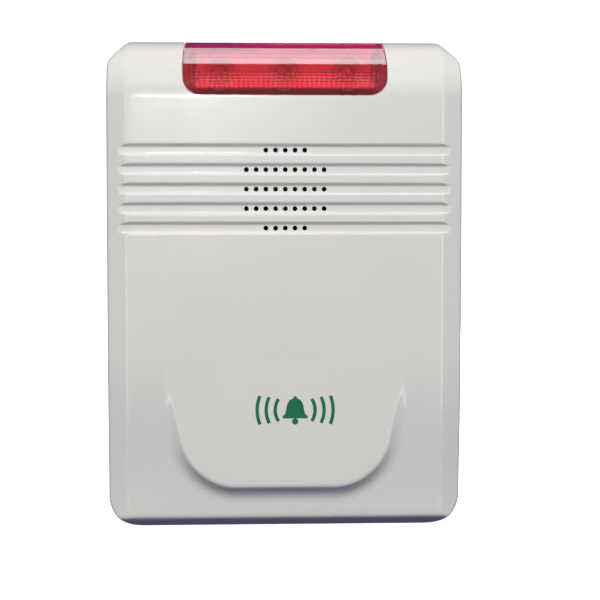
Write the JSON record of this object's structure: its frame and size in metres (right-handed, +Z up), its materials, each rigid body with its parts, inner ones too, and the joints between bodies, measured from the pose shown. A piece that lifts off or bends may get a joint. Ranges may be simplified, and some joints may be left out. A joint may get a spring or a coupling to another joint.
{
  "type": "alarm siren",
  "caption": "White wall alarm siren with a red beacon wrapped over its top edge, a ribbed sound grille, a raised tongue below, and a hinged battery door at the back.",
  "frame": {"origin": "centre of the box round the housing, on the plane of its base", "axes": "+Z up, -Y out of the front with the grille, +Y out of the back towards the wall, +X to the right as seen from the front"},
  "size_m": [0.11, 0.038, 0.152],
  "materials": {
    "white_shell": "glossy moulded ABS",
    "red_lens": "clear red moulded plastic",
    "reflector": "white moulded plastic",
    "lamp": "clear tinted epoxy",
    "circuit_board": "green solder mask on glass epoxy",
    "black_plastic": "black moulded plastic",
    "paper_cone": "coated paper",
    "magnet": "dark ferrite and plate",
    "basket_steel": "zinc plated pressed steel",
    "screw_steel": "zinc plated",
    "contact_spring": "nickel plated spring steel",
    "copper": "enamelled copper wire",
    "cell_jacket": "printed sleeve over a steel can",
    "capacitor_sleeve": "shrink sleeve over an aluminium can",
    "connector_nylon": "natural nylon",
    "gasket_foam": "closed-cell foam",
    "lead_red": "PVC insulation",
    "lead_black": "PVC insulation"
  },
  "bodies": {
    "housing": {"front_cover": "white_shell", "rear_cover": "white_shell", "beacon_lens": "red_lens", "reflector": "reflector", "led_left": "lamp", "led_centre": "lamp", "led_right": "lamp", "main_board": "circuit_board", "led_board": "circuit_board", "radio_module": "circuit_board", "mcu_chip": "black_plastic", "dc_jack": "black_plastic", "tact_switch": "black_plastic", "speaker_magnet": "magnet", "speaker_basket": "basket_steel", "switch_body": "basket_steel", "case_screw_1": "screw_steel", "case_screw_2": "screw_steel", "case_screw_3": "screw_steel", "case_screw_4": "screw_steel", "board_screw_1": "screw_steel", "board_screw_2": "screw_steel", "board_screw_3": "screw_steel", "board_screw_4": "screw_steel", "speaker_screw_1": "screw_steel", "speaker_screw_2": "screw_steel", "speaker_screw_3": "screw_steel", "led_board_screw_1": "screw_steel", "led_board_screw_2": "screw_steel", "contact_low_left": "contact_spring", "contact_low_right": "contact_spring", "contact_high_link": "contact_spring", "contact_plus": "contact_spring", "contact_minus": "contact_spring", "antenna": "copper", "battery_1": "cell_jacket", "battery_2": "cell_jacket", "battery_3": "cell_jacket", "battery_4": "cell_jacket", "capacitor_1": "capacitor_sleeve", "capacitor_2": "capacitor_sleeve", "battery_connector": "connector_nylon", "speaker_connector": "connector_nylon", "led_connector": "connector_nylon", "speaker_gasket": "gasket_foam", "battery_lead_plus": "lead_red", "speaker_lead_plus": "lead_red", "led_lead_plus": "lead_red", "battery_lead_minus": "lead_black", "speaker_lead_minus": "lead_black", "led_lead_minus": "lead_black"},
    "door": {"battery_door": "white_shell"},
    "volume_knob_body": {"volume_knob": "black_plastic"},
    "reset_button_body": {"reset_button": "black_plastic"},
    "tact_plunger_body": {"tact_plunger": "black_plastic"},
    "cone": {"speaker_cone": "paper_cone"}
  },
  "joints": [
    {"name": "battery_door_hinge", "type": "hinge", "parent": "housing", "child": "door", "pos_m": [0, 0.0174, 0.0243], "axis": [-1, 0, 0], "range_deg": [0, 90]},
    {"name": "volume_switch_slide", "type": "slide", "parent": "housing", "child": "volume_knob_body", "axis": [0, 0, 1], "range_m": [-0.002, 0.002]},
    {"name": "reset_button_press", "type": "slide", "parent": "housing", "child": "reset_button_body", "axis": [-1, 0, 0], "range_m": [0, 0.0007], "stiffness_N_per_m": 1500, "springref_m": -0.0002},
    {"name": "tact_plunger_press", "type": "slide", "parent": "housing", "child": "tact_plunger_body", "axis": [-1, 0, 0], "range_m": [0, 0.0007]},
    {"name": "speaker_cone_travel", "type": "slide", "parent": "housing", "child": "cone", "axis": [0, 1, 0], "range_m": [-0.0005, 0.0005], "stiffness_N_per_m": 1000}
  ],
  "couplings": [
    {"joint": "tact_plunger_press", "follows": "reset_button_press", "ratio": 1}
  ]
}
